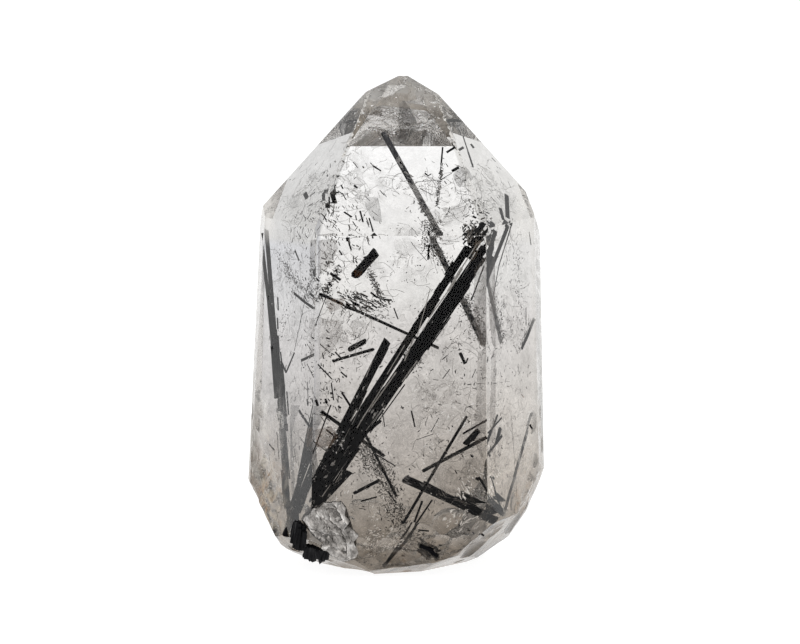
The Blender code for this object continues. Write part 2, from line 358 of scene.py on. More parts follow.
# The smoke, towards the root partly painted shade for the dim foot: height in mm and colour. Its clouds: size
# in mm, detail, how much they dim, swirl
SMOKE_AND_SHADE_TOP = 80
SMOKE_AND_SHADE_STOPS = [(2, "6E6356"), (7, "A1978C"), (12, "B0A89F"), (19, "C2BCB6"), (28, "D0CCC8"), (37, "DCD9D7"),
               (44, "E6E5E3"), (50, "EFEEED"), (56, "F7F7F7"), (70, "FBFBFB")]
SMOKE_CLOUDS = [(5.0, 5, 0.28, 1.5), (1.3, 6, 0.30, 2.0), (0.35, 3, 0.12, 0.0)]
RIPPLE_STRENGTH = 0.32
RIPPLE_DEPTH = 0.25
# How much of the glass each crushed or rubbed skin covers
BREAK_TINT = 0.75
BRUISE_LOW = 0.24
BRUISE_FOOT = 0.62
BRUISE_SIDE = 0.8
WORN_SKIN = 0.8
SHOULDER_SKIN = 0.6
STRIP_SKIN = (0.18, 0.70)
TIP_SKIN = (0.15, 0.8)


def place_in_mm(tree):
    """The place on a piece in mm, for the sizes of its textures."""
    place = add(tree, "TexCoord", out="Object")
    return add(tree, "VectorMath", {0: place, "Scale": 1 / MM}, operation="SCALE")


def patches(tree, place, size, low, high, bottom=0.0, top=1.0, detail=4, roughness=0.5, swirl=0.0):
    """Patches about size mm across: bottom where their noise is under low, top where it is over high."""
    spread = add(tree, "TexNoise", {"Vector": place, "Scale": 1 / size, "Detail": detail,
                                    "Roughness": roughness, "Distortion": swirl})
    return add(tree, "MapRange", (spread, low, high, bottom, top))


def colour_ramp(tree, factor, stops):
    """A colour that follows the factor through stops of (place, sRGB hex code)."""
    ramp = add(tree, "ValToRGB", (factor,))
    elements = ramp.node.color_ramp.elements
    elements.remove(elements[1])
    for number, (at, code) in enumerate(stops):
        stop = elements.new(at) if number else elements[0]
        stop.position = at
        stop.color = linear(code)
    return ramp


# Clear rock crystal, smoky towards the root, where the darkening is partly painted shade for the dim foot;
# nearly colourless where light passes it once
quartz_glass, tree, output = new_material("rock_crystal")
place = place_in_mm(tree)
x, y, z = add(tree, "SeparateXYZ", (place,)).node.outputs
off_middle = add(tree, "Math", (x,), operation="ABSOLUTE")
# The smoke reaches higher on the right than on the left, with an uneven edge
slant = add(tree, "Math", (x, -0.18, z), operation="MULTIPLY_ADD")
billow = add(tree, "TexNoise", {"Vector": place, "Scale": 1 / 11.0, "Detail": 4, "Roughness": 0.6})
edge = add(tree, "Math", (billow, 16.0, slant), operation="MULTIPLY_ADD")
height = add(tree, "MapRange", (edge, 8.0, 8.0 + SMOKE_AND_SHADE_TOP))
colour = colour_ramp(tree, height, [(at / SMOKE_AND_SHADE_TOP, code) for at, code in SMOKE_AND_SHADE_STOPS])
# Cloudy patches: they dim the light more in the lower half. Over the two side faces the colour gets painted
# shade, in one place painted light
lower = add(tree, "MapRange", (z, 20.0, 50.0, 1.0, 0.45))
for size, detail, cover, swirl in SMOKE_CLOUDS:
    cloud = patches(tree, place, size, 0.35, 0.60, cover, 0.0, detail, 0.68, swirl)
    dimming = add(tree, "Math", (cloud, lower), operation="MULTIPLY")
    kept = add(tree, "Math", (1.0, dimming), operation="SUBTRACT")
    colour = add(tree, "VectorMath", {0: colour, "Scale": kept}, operation="SCALE")
above = add(tree, "Math", (z, SHOULDER), operation="SUBTRACT")
above = add(tree, "Math", (above, 0.0), operation="MAXIMUM")
# Painted shade over each side face; where the dimming is negative it is painted light
for start, end, bottom, top, cover in SIDE_PAINTED_LIGHT_AND_SHADE:
    # Above the shoulder the side faces reach inwards along the sloping ridges
    across = add(tree, "Math", (above, math.copysign(RIDGE_SLOPE, end), x), operation="MULTIPLY_ADD")
    beside = add(tree, "MapRange", (across, start, end))
    high = add(tree, "MapRange", (z, bottom, top))
    there = add(tree, "Math", (beside, high), operation="MULTIPLY")
    dimming = add(tree, "VectorMath", {0: cover, "Scale": there}, operation="SCALE")
    kept = add(tree, "VectorMath", ((1, 1, 1), dimming), operation="SUBTRACT")
    colour = add(tree, "VectorMath", (colour, kept), operation="MULTIPLY")
rough_breaks = add(tree, "Attribute", out="Fac", attribute_name="broken")
# Brownish glass in the breaks at both lower corners
corner = add(tree, "MapRange", (off_middle, 9.0, 12.0, 0.0, BREAK_TINT))
streak = patches(tree, place, 3.0, 0.40, 0.56, 0.25, 1.0, 6, 0.65, 1.5)
corner = add(tree, "Math", (corner, streak), operation="MULTIPLY")
under = add(tree, "MapRange", (z, 16.0, 8.0))
dimming = add(tree, "Math", (corner, under), operation="MULTIPLY")
dimming = add(tree, "Math", (dimming, rough_breaks), operation="MULTIPLY")
kept = add(tree, "Math", (1.0, dimming), operation="SUBTRACT")
colour = add(tree, "VectorMath", {0: colour, "Scale": kept}, operation="SCALE")
# The wide front of the break is smoother than the rest
front = add(tree, "MapRange", (y, -15.0, -10.0, 0.15, 1.0))
uneven = add(tree, "Math", (rough_breaks, front), operation="MULTIPLY")
rough = add(tree, "Math", (patches(tree, place, 1.2, 0.4, 0.75, 0.01, 0.12), uneven), operation="MULTIPLY")
ripple = add(tree, "TexNoise", {"Vector": place, "Scale": 1 / 0.9, "Detail": 4, "Roughness": 0.6,
                                "Distortion": 0.6})
relief = add(tree, "Math", (uneven, RIPPLE_STRENGTH), operation="MULTIPLY")
bumps = add(tree, "Bump", {"Height": ripple, "Strength": relief, "Distance": RIPPLE_DEPTH * MM})
clear = add(tree, "BsdfPrincipled", {"Base Color": colour, "Roughness": rough, "IOR": QUARTZ_IOR,
                                     "Transmission Weight": 1.0, "Normal": bumps,
                                     "Specular Tint": (FACE_GLARE, FACE_GLARE, FACE_GLARE, 1.0)})
# The break is bruised: crushed quartz that scatters light. The sides carry patches of it low down.
low = add(tree, "MapRange", (z, 1.0, 15.0, BRUISE_LOW, 0.0), interpolation_type="SMOOTHSTEP")
low = add(tree, "Math", (low, rough_breaks), operation="MULTIPLY")
side = add(tree, "MapRange", (off_middle, 16.0, 21.0, 0.0, BRUISE_SIDE))
fall = add(tree, "MapRange", (z, 13.0, 33.0, 1.0, 0.0))
side = add(tree, "Math", (side, fall), operation="MULTIPLY")
bruise = add(tree, "Math", (low, side), operation="MAXIMUM")
crush = patches(tree, place, 2.6, 0.42, 0.62, detail=6, roughness=0.68, swirl=1.0)
bruise = add(tree, "Math", (crush, bruise), operation="MULTIPLY")
foot = add(tree, "MapRange", (z, 0.1, 0.5, BRUISE_FOOT, 0.0))
bruise = add(tree, "Math", (foot, bruise), operation="MAXIMUM")
# The ridges and their chips are rubbed white, and so are the two shoulders
rubbed = patches(tree, place, 0.7, 0.38, 0.58, 0.0, WORN_SKIN, roughness=0.7)
high = add(tree, "MapRange", (z, 21.0, 27.0))
worn = add(tree, "Math", (rubbed, high), operation="MULTIPLY")
worn = add(tree, "Math", (worn, rough_breaks), operation="MULTIPLY")
far = add(tree, "MapRange", (off_middle, 18.6, 20.2))
level = add(tree, "MapRange", (z, 51.0, 55.0, 0.0, SHOULDER_SKIN))
shoulder = add(tree, "Math", (far, level), operation="MULTIPLY")
broad = patches(tree, place, 2.8, 0.36, 0.56, detail=6, roughness=0.7)
shoulder = add(tree, "Math", (shoulder, broad), operation="MULTIPLY")
worn = add(tree, "Math", (shoulder, worn), operation="MAXIMUM")
# The two side strips and the very tip are frosted in patches
strip = add(tree, "MapRange", (off_middle, 21.2, 22.3))
tip = add(tree, "MapRange", (z, 72.5, 76.0))
frosted = []
for mask, skin in ((strip, STRIP_SKIN), (tip, TIP_SKIN)):
    patchy = patches(tree, place, 2.2, 0.38, 0.62, *skin, detail=7, roughness=0.7, swirl=1.5)
    frosted.append(add(tree, "Math", (mask, patchy), operation="MULTIPLY"))
dull = add(tree, "Math", frosted, operation="MAXIMUM")
worn = add(tree, "Math", (dull, worn), operation="MAXIMUM")
bruise = add(tree, "Math", (worn, bruise), operation="MAXIMUM")
# The crushed skin: darker low down, beige with brown stains at the lower left, pale higher up, grey
# where frosted
crushed_tone = add(tree, "TexNoise", {"Vector": place, "Scale": 1 / 3.5, "Detail": 5, "Roughness": 0.7})
lefter = add(tree, "MapRange", (x, -12.0, -19.0))
stained = add(tree, "Math", (lefter, 0.07, crushed_tone), operation="MULTIPLY_ADD")
stained = add(tree, "MapRange", (stained, 0.52, 0.66))
pale = add(tree, "MapRange", (z, 12.0, 26.0))
crushed_tone = linear("9A9187")
for share, code in ((lefter, "BFB4A3"), (stained, "8F6F49"), (pale, "E2DFDA"), (dull, "7E7B77")):
    crushed_tone = add(tree, "Mix", {"Factor": share, 6: crushed_tone, 7: linear(code)}, out=2, data_type="RGBA")
crushed = add(tree, "BsdfPrincipled", {"Base Color": crushed_tone, "Roughness": 0.7, "Normal": bumps})
skin = add(tree, "MixShader", (bruise, clear, crushed))
tree.links.new(skin, output.inputs["Surface"])
haze = add(tree, "VolumeAbsorption", {"Color": linear("C4BEB6"), "Density": SMOKE_DENSITY / MM})
tree.links.new(haze, output.inputs["Volume"])
quartz = new_piece("clear_quartz", quartz_mesh, quartz_glass)
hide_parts("quartz_front", "quartz_back")


# The black tourmaline: rods, needles and countless grains, long striated prisms of schorl that the quartz
# grew round. The big ones are the solid model's own nodes; the thin ones are made here, each behind the
# clear face that it shows through and at a depth of its own.
ROD_IOR = 1.06  # schorl against quartz, 1.64 over 1.54
PHOTO_MIDDLE = (400, 322)
PHOTO_FOCUS = 2600  # in pixels of the photograph
SKIN = 0.45  # how far under the faces the sealed-in crystals stay, in mm
SHORTEST = 0.1  # shorter crystals are left away, in mm

view_right = Vector((1, 0, 0))
view_up = Vector((0, math.sin(CAMERA_RISE), math.cos(CAMERA_RISE)))


def on_surface(across, down):
    """Where the line of sight through a point of the photograph meets the crystal, its way and the normal."""
    way = (-back + view_right * ((across - PHOTO_MIDDLE[0]) / PHOTO_FOCUS)
           + view_up * ((PHOTO_MIDDLE[1] - down) / PHOTO_FOCUS)).normalized()
    place, normal, _, _ = hull_tree.ray_cast(eye, way)
    return place, way, normal


def seen(across, down, deep):
    """The place at y = deep mm in the crystal that shows at a point of the photograph, through the face."""
    place, way, normal = on_surface(across, down)
    if place is None:
        return None
    ratio = 1 / QUARTZ_IOR
    facing = -way.dot(normal)
    bent = way * ratio + normal * (ratio * facing - math.sqrt(1 - ratio ** 2 * (1 - facing ** 2)))
    far = hull_tree.ray_cast(place + bent * 0.05, bent)[3] or 1.0
    reach = (deep - place.y) / bent.y
    return place + bent * min(max(reach, SKIN), max(far - 2 * SKIN, SKIN))


def sealed_in(place, margin=SKIN):
    """Whether a place lies at least a margin inside every face of the crystal."""
    return all((place - at).dot(normal) < -margin for normal, at in faces)


def grow(name, shape, starts, ends, widths, material, slot, **sizes):
    """Grow a crystal between each start and end with Geometry Nodes, as wide as the list says."""
    middles = [(start + end) * 0.5 * MM for start, end in zip(starts, ends)]
    mesh = bpy.data.meshes.new(name + "_points")
    mesh.from_pydata(middles, [], [])
    along = mesh.attributes.new("along", "FLOAT_VECTOR", "POINT")
    along.data.foreach_set("vector", [part for start, end in zip(starts, ends) for part in (end - start)])
    length = mesh.attributes.new("length", "FLOAT", "POINT")
    length.data.foreach_set("value", [(end - start).length * MM for start, end in zip(starts, ends)])
    width = mesh.attributes.new("width", "FLOAT", "POINT")
    width.data.foreach_set("value", [size * MM for size in widths])
    points = bpy.data.objects.new(name + "_points", mesh)
    bpy.context.scene.collection.objects.link(points)

    tree = bpy.data.node_groups.new(name + "_growth", "GeometryNodeTree")
    tree.is_modifier = True
    tree.interface.new_socket("Geometry", in_out="INPUT", socket_type="NodeSocketGeometry")
    for label in sizes:
        tree.interface.new_socket(label, in_out="INPUT", socket_type="NodeSocketFloat")
    tree.interface.new_socket("Geometry", in_out="OUTPUT", socket_type="NodeSocketGeometry")
    given = add(tree, "NodeGroupInput").node.outputs
    length = add(tree, "GeometryNodeInputNamedAttribute", {"Name": "length"}, data_type="FLOAT")
    width = add(tree, "GeometryNodeInputNamedAttribute", {"Name": "width"}, data_type="FLOAT")
    along = add(tree, "GeometryNodeInputNamedAttribute", {"Name": "along"}, data_type="FLOAT_VECTOR")
    turn = add(tree, "FunctionNodeRandomValue", {"Max": 2 * math.pi, "Seed": 7}, out=1, data_type="FLOAT")
    spin = add(tree, "FunctionNodeAxisAngleToRotation", {"Axis": (0, 0, 1), "Angle": turn})
    aim = add(tree, "FunctionNodeAlignRotationToVector", {"Rotation": spin, "Vector": along}, axis="Z")
    if shape == "thread":
        bow = {"Resolution": 7, "Start": (0, 0, -0.5), "Middle": (0.3, 0.1, 0.0), "End": (0, 0, 0.5)}
        crystal = add(tree, "GeometryNodeCurveQuadraticBezier", bow)
        size = add(tree, "CombineXYZ", (length, length, length))
    else:
        if shape == "prism":
            crystal = add(tree, "GeometryNodeMeshCylinder", {"Vertices": 6, "Radius": 0.5, "Depth": 1.0})
        else:
            crystal = add(tree, "GeometryNodeMeshIcoSphere", {"Radius": 0.5, "Subdivisions": 1})
        flat = add(tree, "Math", (width, given["Flatness"]), operation="MULTIPLY")
        size = add(tree, "CombineXYZ", (width, flat, length))
    placed = add(tree, "GeometryNodeInstanceOnPoints", {"Points": given["Geometry"], "Instance": crystal,
                                                        "Rotation": aim, "Scale": size})
    grown = add(tree, "GeometryNodeRealizeInstances", (placed,))
    ripple = add(tree, "TexNoise", {"Vector": add(tree, "GeometryNodeInputPosition"), "Scale": given["Waves"],
                                    "Detail": 2.0}, out="Color", normalize=False)
    uneven = add(tree, "VectorMath", {0: ripple, "Scale": given["Unevenness"]}, operation="SCALE")
    grown = add(tree, "GeometryNodeSetPosition", {"Geometry": grown, "Offset": uneven})
    if shape == "thread":
        ring = add(tree, "GeometryNodeCurvePrimitiveCircle", {"Resolution": 3, "Radius": given["Thickness"]})
        grown = add(tree, "GeometryNodeCurveToMesh", {"Curve": grown, "Profile Curve": ring,
                                                      "Fill Caps": True})
    done = add(tree, "GeometryNodeSetMaterial", {"Geometry": grown, "Material": material})
    add(tree, "NodeGroupOutput", (done,))
    modifier = points.modifiers.new("growth", "NODES")
    modifier.node_group = tree
    for socket in tree.interface.items_tree:
        if socket.in_out == "INPUT" and socket.name in sizes:
            modifier[socket.identifier] = float(sizes[socket.name])
    return new_piece(name, evaluated(points), material)


def keep(crystals, *crystal):
    """Put one more crystal, its start, its end and its width, at the end of the three lists."""
    for kept, value in zip(crystals, crystal):
        kept.append(value)


def between(lines):
    """Starts, ends and widths of crystals, from both ends as photographed, the depth and the width in mm."""
    crystals = ([], [], [])
    for across, down, end_across, end_down, deep, wide in lines:
        start, end = seen(across, down, deep), seen(end_across, end_down, deep)
        if start and end and (start - end).length > SHORTEST:
            keep(crystals, start, end, wide)
    return crystals


def schorl(name, line, axis, bare, worn, black="050506", silver="A8A8AA", gloss=ROD_IOR, rough=0.45):
    """Black tourmaline with fine grooves along line. Silvery grains, where quartz has lifted off it, cover
    more of it from the bare place to the worn one, given as (mm along axis, how high their noise must be)."""
    material, tree, output = new_material(name)
    place = place_in_mm(tree)
    turn = Vector(line).normalized().rotation_difference(Vector((1, 0, 0))).to_euler()
    lying = add(tree, "VectorRotate", {"Vector": place, "Rotation": turn}, rotation_type="EULER_XYZ")
    grooves = add(tree, "Mapping", {"Vector": lying, "Scale": (1 / 9.0, 1 / 0.35, 1 / 0.35)})
    groove = add(tree, "TexNoise", {"Vector": grooves, "Scale": 1.0, "Detail": 3})
    grains = add(tree, "Mapping", {"Vector": lying, "Scale": (1 / 1.5, 1 / 0.75, 1 / 0.75)})
    grain = add(tree, "TexNoise", {"Vector": grains, "Scale": 1.0, "Detail": 5, "Roughness": 0.7})
    where = add(tree, "SeparateXYZ", (place,), out=axis)
    lowest = add(tree, "MapRange", (where, bare[0], worn[0], bare[1], worn[1]))
    above = add(tree, "Math", (grain, lowest), operation="SUBTRACT")
    silvery = add(tree, "MapRange", (above, 0.0, 0.03))
    dark = add(tree, "Mix", {"Factor": groove, 6: linear(black), 7: linear("141417")}, out=2,
               data_type="RGBA")
    tone = add(tree, "Mix", {"Factor": silvery, 6: dark, 7: linear(silver)}, out=2, data_type="RGBA")
    shade = add(tree, "BsdfPrincipled", {"Base Color": tone, "Roughness": rough, "IOR": gloss})
    tree.links.new(shade, output.inputs["Surface"])
    return material


spray_schorl = schorl("spray_tourmaline", (28, -1, 42), "Z", (40.0, 0.68), (26.0, 0.605), "020203", "F0EEEC")
upper_schorl = schorl("upper_rod_tourmaline", (16, -5, -33), "Z", (66.0, 0.57), (55.0, 0.43), "6C6C70",
                      "BAB8B6")
lower_schorl = schorl("lower_rod_tourmaline", (12.5, -4, -5.3), "X", (11.0, 0.68), (4.0, 0.50))
needle_schorl = schorl("needle_tourmaline", (1, 0, 1), "Z", (60.0, 0.78), (0.0, 0.70))
node_finish = {"tourmaline_spray": spray_schorl, "tourmaline_upper_rod": upper_schorl,
               "tourmaline_lower_rod": lower_schorl}
for name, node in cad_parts.items():
    if name.startswith("tourmaline"):
        node.data.materials.clear()
        node.data.materials.append(node_finish.get(name, needle_schorl))

# Single needles and stubby grains: both ends where they show in the photograph, depth and thickness in mm
single_needles = [
    (369, 218, 373, 231, -13, 0.34), (360, 211, 363, 222, -12, 0.30), (344, 212, 352, 217, -11, 0.36),
    (373, 166, 381, 171, -8, 0.32), (354, 185, 357, 188, -9, 0.32), (353, 162, 358, 168, -7, 0.16),
    (341, 185, 343, 189, -12, 0.28), (342, 193, 346, 200, -11, 0.18), (334, 175, 337, 177, -9, 0.24),
    (443, 147, 441, 163, -6, 0.26), (441, 163, 440, 176, -6, 0.16), (425, 173, 428, 176, -6, 0.30),
    (428, 176, 431, 174, -6, 0.26), (420, 188, 432, 195, -8, 0.15), (415, 182, 440, 180, -6, 0.12),
    (440, 180, 452, 173, -6, 0.14), (452, 171, 459, 167, -9, 0.62), (450, 207, 447, 215, -12, 0.13),
    (463, 136, 468, 152, -4, 0.45), (468, 152, 473, 167, -5, 0.55), (471, 144, 474, 148, -4, 0.60),
    (455, 147, 459, 150, -3, 0.55), (468, 240, 472, 236, -14, 0.60), (475, 240, 479, 233, -14, 0.95),
    (476, 229, 479, 228, -13, 0.40), (484, 224, 488, 222, -13, 0.36), (470, 246, 473, 240, -14, 0.60),
    (481, 252, 484, 247, -14, 0.65), (484, 254, 487, 250, -14, 0.55), (463, 232, 466, 236, -13, 0.22),
    (305, 193, 307, 198, -10, 0.75), (310, 196, 315, 192, -10, 0.36), (309, 206, 313, 203, -10, 0.26),
    (295, 251, 299, 260, -12, 0.42), (330, 273, 341, 280, -13, 0.52), (349, 244, 351, 250, -12, 0.32),
    (339, 251, 342, 255, -12, 0.32), (326, 261, 328, 265, -12, 0.32), (319, 294, 326, 297, -14, 0.55),
    (336, 301, 339, 303, -14, 0.62), (348, 307, 351, 309, -14, 0.62), (326, 297, 358, 312, -14, 0.20),
    (460, 353, 465, 364, -12, 0.50), (466, 363, 468, 358, -12, 0.26), (443, 379, 450, 369, -9, 0.15),
    (495, 377, 497, 368, -9, 0.14), (341, 372, 347, 377, -12, 0.28), (318, 364, 332, 379, -13, 0.22),
    (320, 344, 330, 353, -12, 0.16), (326, 338, 330, 339, -13, 0.32), (335, 352, 342, 359, -13, 0.28),
    (342, 392, 350, 406, -14, 0.38), (316, 400, 318, 406, -14, 0.50), (325, 399, 327, 403, -14, 0.42),
    (331, 392, 332, 394, -13, 0.30), (338, 406, 341, 408, -13, 0.42), (411, 243, 427, 261, -8, 0.10),
    (394, 308, 398, 319, -10, 0.22), (526, 308, 526, 326, -8, 0.20), (307, 288, 294, 350, -9, 0.16),
    (307, 381, 308, 399, -9, 0.26), (281, 361, 286, 372, -9, 0.60), (286, 372, 294, 352, -9, 0.42),
    (257, 395, 259, 401, -3, 0.80), (312, 429, 341, 441, -14, 0.42), (366, 433, 381, 420, -14, 0.55),
    (411, 411, 415, 427, -13, 0.28), (431, 432, 439, 418, -9, 0.14), (416, 440, 434, 434, -9, 0.13),
    (361, 501, 377, 497, -14, 0.24), (489, 433, 502, 418, -10, 0.32), (416, 524, 432, 500, -16, 0.36),
    (409, 536, 422, 501, -13, 0.42), (383, 567, 407, 542, -16, 0.55), (407, 542, 416, 524, -16, 0.50),
    (367, 568, 372, 565, -12, 0.36), (419, 528, 430, 529, -16, 0.34), (262.5, 233, 268.5, 300, -3.2, 1.25),
    (268.2, 296, 273, 350, -5.0, 1.3), (272.8, 346, 276.5, 398, -6.5, 1.3),
    (420, 547, 433, 551, -17.5, 1.0), (428, 549, 437, 557, -17.5, 0.9),
    (506.5, 221.5, 487.5, 278, -10, 1.0), (495.5, 231, 487.3, 258, -12, 1.1),
    (510, 221, 499, 265, -9, 0.28), (499, 265, 492.5, 300, -10, 0.26), (529, 232, 531, 245, -3, 0.35),
    (534, 319, 526.5, 338, -3.5, 1.0), (526.5, 338, 521.5, 349, -5, 0.7), (425, 564, 430, 565, -9, 0.60),
    (402, 560, 407, 561, -9, 0.34), (450, 557, 452, 559, -9, 0.45), (479, 534, 485, 537, -13, 0.34),
    (471, 455, 473, 457, -12, 0.45), (476, 478, 479, 480, -12, 0.50), (459, 524, 460, 526, -11, 0.30),
    (512, 424, 513, 520, -8, 0.12), (531, 425, 533, 429, -6, 0.52), (269, 444, 274, 450, -6, 0.32),
    (295, 451, 297, 464, -9, 0.18), (313, 404, 297, 482, -13, 0.26), (491, 476, 499, 502, -14, 0.36),
    (499, 502, 504, 514, -14, 0.36), (506.5, 194.5, 507.5, 218, -8, 1.0), (500, 208, 503.5, 220, -9, 0.7),
    (429, 245, 428, 260, -9, 0.34), (388, 491, 396, 503, -10, 0.22), (377, 455, 395, 466, -12, 0.22),
    (382, 409, 385, 427, -12, 0.20), (300, 437, 310, 452, -12, 0.20), (420, 547, 437, 558, -16, 1.30),
    (424, 546, 429, 557, -16, 0.90), (430, 551, 438, 560, -16, 0.90), (418, 546, 424, 549, -16, 0.60),
    (472, 440, 478, 431, -13, 0.80), (455, 470, 457, 474, -9, 0.26)]
grow("fine_needles", "prism", *between(single_needles), needle_schorl, "tourmaline", Flatness=0.75,
     Unevenness=0.08 * MM, Waves=1 / (2.0 * MM))

# Swarms of grains: middle, half width and half height in the photograph, depth from and to, how many,
# slant in degrees and its spread, length and thickness in mm
swarms = [
    (352, 200, 34, 45, -15, -4, 50, -60, 12, (0.35, 1.6), (0.10, 0.24)),
    (330, 215, 12, 22, -12, -6, 16, -60, 20, (0.3, 1.2), (0.10, 0.20)),
    (300, 190, 34, 32, -12, 2, 70, 52, 16, (0.3, 1.3), (0.08, 0.18)),
    (495, 180, 28, 32, -10, 4, 60, -50, 20, (0.3, 1.2), (0.08, 0.18)),
    (430, 190, 34, 38, -12, 0, 34, 40, 60, (0.15, 0.7), (0.07, 0.16)),
    (345, 258, 26, 24, -16, -8, 30, -55, 30, (0.25, 1.1), (0.10, 0.24)),
    (328, 285, 13, 24, -16, -8, 32, -35, 30, (0.3, 1.2), (0.10, 0.30)),
    (362, 302, 28, 9, -14, -8, 90, -28, 12, (0.3, 1.6), (0.10, 0.30)),
    (372, 308, 20, 12, -14, -8, 60, -28, 40, (0.12, 0.6), (0.08, 0.20)),
    (430, 285, 55, 45, -12, 4, 90, 30, 80, (0.12, 0.5), (0.07, 0.17)),
    (330, 385, 14, 45, -15, -8, 60, -50, 30, (0.25, 1.1), (0.10, 0.24)),
    (360, 345, 40, 45, -14, 0, 55, -40, 70, (0.15, 0.8), (0.07, 0.18)),
    (455, 400, 33, 60, -14, 0, 80, 50, 50, (0.15, 0.8), (0.08, 0.20)),
    (405, 480, 85, 75, -15, 2, 170, 40, 80, (0.12, 0.7), (0.08, 0.20)),
    (290, 330, 25, 95, -10, 4, 130, 75, 30, (0.2, 1.1), (0.07, 0.18)),
    (290, 470, 22, 50, -8, 2, 50, 70, 40, (0.2, 0.9), (0.08, 0.20)),
    (511, 330, 22, 95, -10, 4, 100, 80, 30, (0.2, 1.1), (0.07, 0.16)),
    (511, 460, 22, 50, -8, 4, 50, 70, 50, (0.2, 0.8), (0.08, 0.18)),
    (475, 215, 12, 24, -14, -8, 40, 50, 60, (0.2, 0.9), (0.12, 0.35)),
    (475, 238, 8, 9, -15, -12, 60, 48, 20, (0.2, 0.9), (0.15, 0.5)),
    (470, 228, 8, 6, -14, -11, 30, 40, 60, (0.2, 0.6), (0.12, 0.3)),
    (429, 552, 8, 6, -18, -15, 70, -35, 25, (0.5, 1.8), (0.25, 0.55)),
    (420, 535, 14, 12, -12, -4, 60, 20, 60, (0.2, 0.8), (0.1, 0.3))]
# Fuzzy streaks: from, to, half thickness in the photograph, depth from and to, how many
streaks = [
    (442, 165, 437, 205, 1.3, -6, -3, 170), (268, 246, 303, 290, 3.0, -10, -6, 420),
    (424, 240, 450, 268, 3.6, -9, -5, 300), (462, 294, 486, 346, 3.6, -10, -6, 420),
    (369, 271, 382, 299, 1.8, -10, -6, 220), (355, 443, 378, 468, 6.5, -10, -2, 480),
    (378, 465, 396, 505, 6.0, -9, -1, 420), (392, 500, 410, 552, 7.0, -10, -1, 420),
    (512, 245, 524, 330, 3.5, -8, -2, 130), (419, 203, 441, 238, 2.0, -8, -6, 150),
    (345, 290, 385, 318, 3.0, -13, -9, 90), (340, 268, 318, 300, 2.0, -13, -9, 160),
    (400, 350, 418, 366, 5.0, -10, -6, 200), (533, 318, 518, 352, 1.5, -6, -2, 110),
    (500, 296, 518, 350, 1.8, -6, -2, 70), (300, 262, 280, 340, 1.0, -8, -4, 60)]


def slanted(length, slant):
    """A line of that length, slant degrees above level as the camera sees it, leaning a little in depth."""
    turn = math.radians(slant)
    return Vector((math.cos(turn), chance.uniform(-0.5, 0.5), math.sin(turn))).normalized() * length


def random_spot(across, down, half_wide, half_high, near, far):
    """A spot in an oval of the photograph, at a depth between near and far."""
    turn, out = chance.uniform(0, 2 * math.pi), math.sqrt(chance.random())
    return seen(across + half_wide * out * math.cos(turn), down + half_high * out * math.sin(turn),
                chance.uniform(near, far))


def sow(place, line, wide, grains):
    """Keep a grain whose two ends both lie sealed in the stone."""
    if place and sealed_in(place - line / 2) and sealed_in(place + line / 2):
        keep(grains, place - line / 2, place + line / 2, wide)


def mottled(name, size, detail, dark, light, thin=None, **finish):
    """A material mottled between two colours in patches of that size in mm, with the values in finish."""
    material, tree, output = new_material(name)
    mottle = add(tree, "TexNoise", {"Vector": place_in_mm(tree), "Scale": 1 / size, "Detail": detail})
    tone = add(tree, "Mix", {"Factor": mottle, 6: linear(dark), 7: linear(light)}, out=2, data_type="RGBA")
    sockets = {"Base Color": tone, **{key.replace("_", " "): value for key, value in finish.items()}}
    if thin:
        sockets["Alpha"] = add(tree, "MapRange", (mottle, *thin))
    tree.links.new(add(tree, "BsdfPrincipled", sockets), output.inputs["Surface"])
    return material


chance = random.Random(11)
dark, grey = ([], [], []), ([], [], [])
for *where, count, slant, spread, lengths, thick in swarms:
    for number in range(count):
        spot = random_spot(*where)
        small = chance.random() ** 2
        line = slanted(lengths[0] + (lengths[1] - lengths[0]) * small, chance.gauss(slant, spread))
        sow(spot, line, chance.uniform(*thick), dark if chance.random() < 0.6 else grey)
for across, down, to_across, to_down, sigma, near, far, count in streaks:
    for number in range(count):
        at = chance.random()
        spot = seen(across + (to_across - across) * at + chance.gauss(0, sigma),
                    down + (to_down - down) * at + chance.gauss(0, sigma), chance.uniform(near, far))
        line = slanted(chance.uniform(0.12, 0.5), chance.uniform(-90, 90))
        sow(spot, line, chance.uniform(0.06, 0.16), dark if chance.random() < 0.45 else grey)
grow("dark_grains", "prism", *dark, needle_schorl, "tourmaline", Flatness=0.7, Unevenness=0.05 * MM,
     Waves=1 / MM)

# Grey grains of altered tourmaline and gas-filled cracks, dull and half clear to the eye
grey_grain = mottled("grey_inclusion", 0.8, 3, "5A5450", "9A948E", Roughness=0.6, IOR=ROD_IOR)
grow("grey_grains", "prism", *grey, grey_grain, "tourmaline", Flatness=0.6, Unevenness=0.05 * MM,
     Waves=1 / MM)


